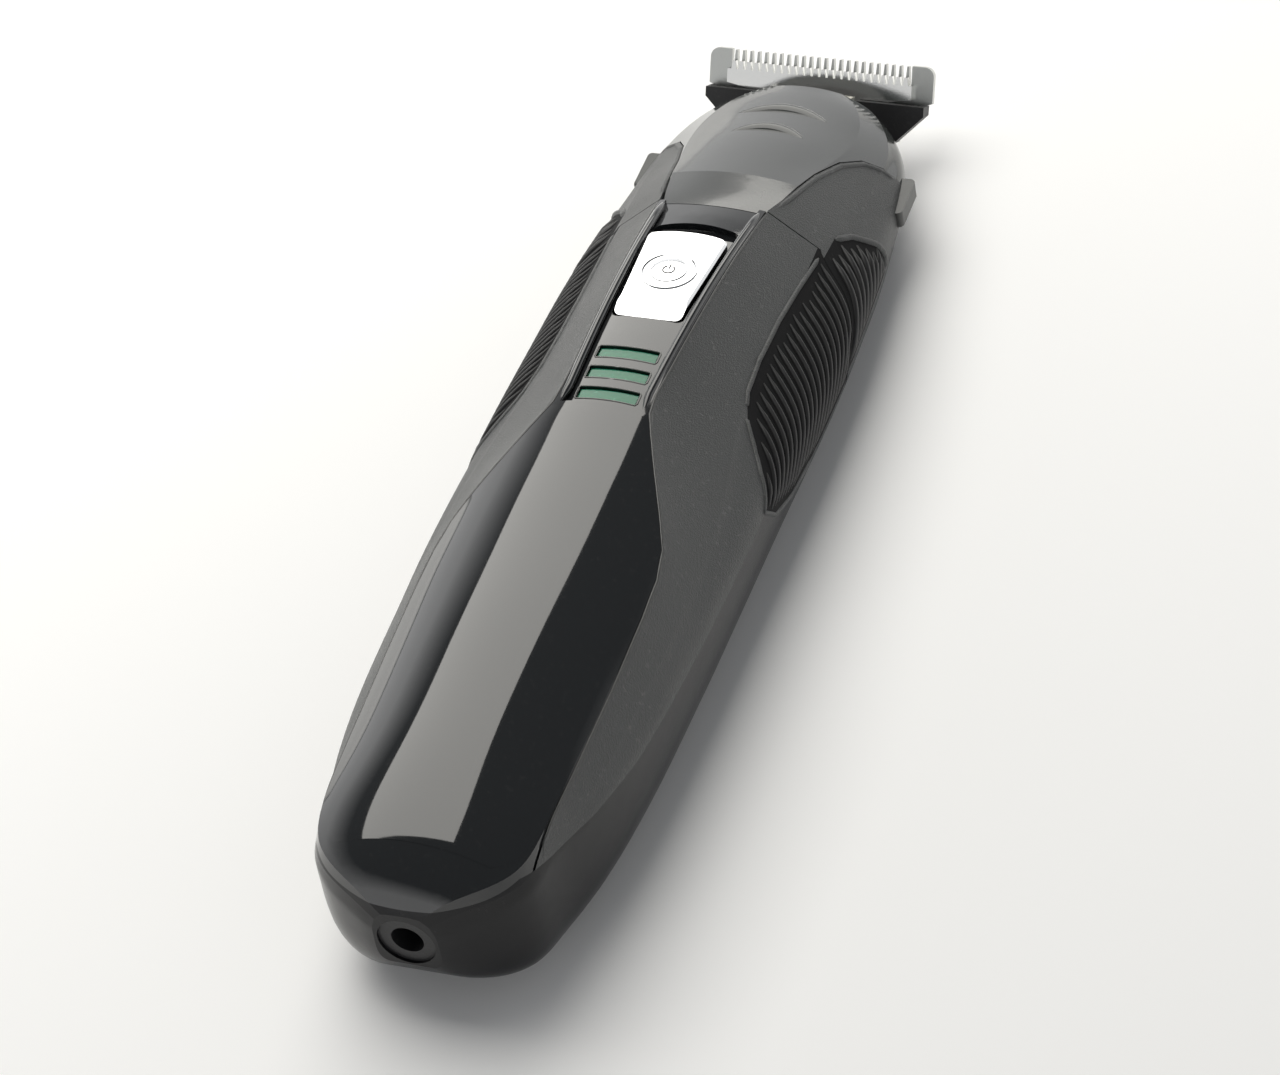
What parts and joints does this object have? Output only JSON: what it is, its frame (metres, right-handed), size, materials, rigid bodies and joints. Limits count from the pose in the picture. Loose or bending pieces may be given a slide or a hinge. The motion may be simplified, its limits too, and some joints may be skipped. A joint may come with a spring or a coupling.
{
  "type": "beard trimmer",
  "caption": "Cordless beard trimmer with a T-blade head: slide switch, oscillating cutter driven through a lever, and a head that pulls off the handle.",
  "frame": {"origin": "under the middle of the trimmer as it lies on its back, on the surface it lies on", "axes": "+Y along the body to the blade, +Z out of the front (switch side), +X to the right seen from the front with the blade up"},
  "size_m": [0.04, 0.162, 0.0284],
  "materials": {
    "gloss_black": "piano-black gloss",
    "textured_grey": "fine spark-eroded grain",
    "grip_rubber": "soft matt with ribs",
    "inner_black": "matt",
    "housing_black": "gloss black",
    "screw_steel": "zinc plated",
    "contact_metal": "nickelled brass",
    "cell_sleeve": "shrink sleeve",
    "motor_steel": "zinc plated can",
    "nylon": "natural nylon",
    "bush_bronze": "sintered bronze",
    "shaft_steel": "ground",
    "seal_rubber": "soft matt",
    "board_green": "solder mask",
    "lamp_clear": "clear moulding",
    "green_lens": "translucent green",
    "button_chrome": "bright chrome plated",
    "graphite_gloss": "graphite gloss",
    "catch_grey": "satin grey",
    "blade_steel": "satin ground stainless",
    "polished_steel": "polished stainless",
    "spring_steel": "blued spring strip"
  },
  "bodies": {
    "handle": {"front_panel": "gloss_black", "side_panel_left": "textured_grey", "side_panel_right": "textured_grey", "grip_left": "grip_rubber", "grip_right": "grip_rubber", "front_frame": "inner_black", "rear_housing": "housing_black", "housing_screws": "screw_steel", "charging_socket": "inner_black", "socket_contacts": "contact_metal", "cell": "cell_sleeve", "cell_contacts": "contact_metal", "motor_can": "motor_steel", "motor_end_cap": "nylon", "motor_terminals": "contact_metal", "motor_mount": "inner_black", "motor_screws": "screw_steel", "shaft_bush": "bush_bronze", "seal_ring": "seal_rubber", "circuit_board": "board_green", "indicator_lamps": "lamp_clear", "light_guide": "green_lens", "slide_switch": "inner_black"},
    "power_switch": {"power_button": "button_chrome", "switch_slider": "inner_black"},
    "rotor": {"motor_shaft": "shaft_steel", "drive_eccentric": "nylon"},
    "head": {"head_cap": "graphite_gloss", "head_rear_cover": "housing_black", "head_shoulder_left": "textured_grey", "head_shoulder_right": "textured_grey", "head_grip_left": "grip_rubber", "head_grip_right": "grip_rubber", "comb_catches": "catch_grey", "fixed_blade": "blade_steel", "blade_holder": "inner_black", "blade_screws": "screw_steel", "blade_spring": "spring_steel", "lever_pin": "shaft_steel"},
    "lever": {"drive_lever": "nylon"},
    "cutter": {"moving_blade": "polished_steel", "blade_carrier": "nylon"}
  },
  "joints": [
    {"name": "switch_slide", "type": "slide", "parent": "handle", "child": "power_switch", "axis": [0, 0.9963, -0.0854], "range_m": [0, 0.003]},
    {"name": "rotor_spin", "type": "hinge", "parent": "handle", "child": "rotor", "pos_m": [0, 0.035, 0.0109], "axis": [0, 1, 0], "continuous": true},
    {"name": "head_pull", "type": "slide", "parent": "handle", "child": "head", "axis": [0, 1, 0], "range_m": [0, 0.04]},
    {"name": "lever_swing", "type": "hinge", "parent": "head", "child": "lever", "pos_m": [0, 0.0584, 0.0081], "axis": [0, 0, 1], "range_deg": [-4.2, 4.2]},
    {"name": "cutter_slide", "type": "slide", "parent": "head", "child": "cutter", "axis": [1, 0, 0], "range_m": [-0.0012, 0.0012]}
  ],
  "couplings": [
    {"joint": "cutter_slide", "follows": "lever_swing", "m_per_rad": -0.016}
  ]
}
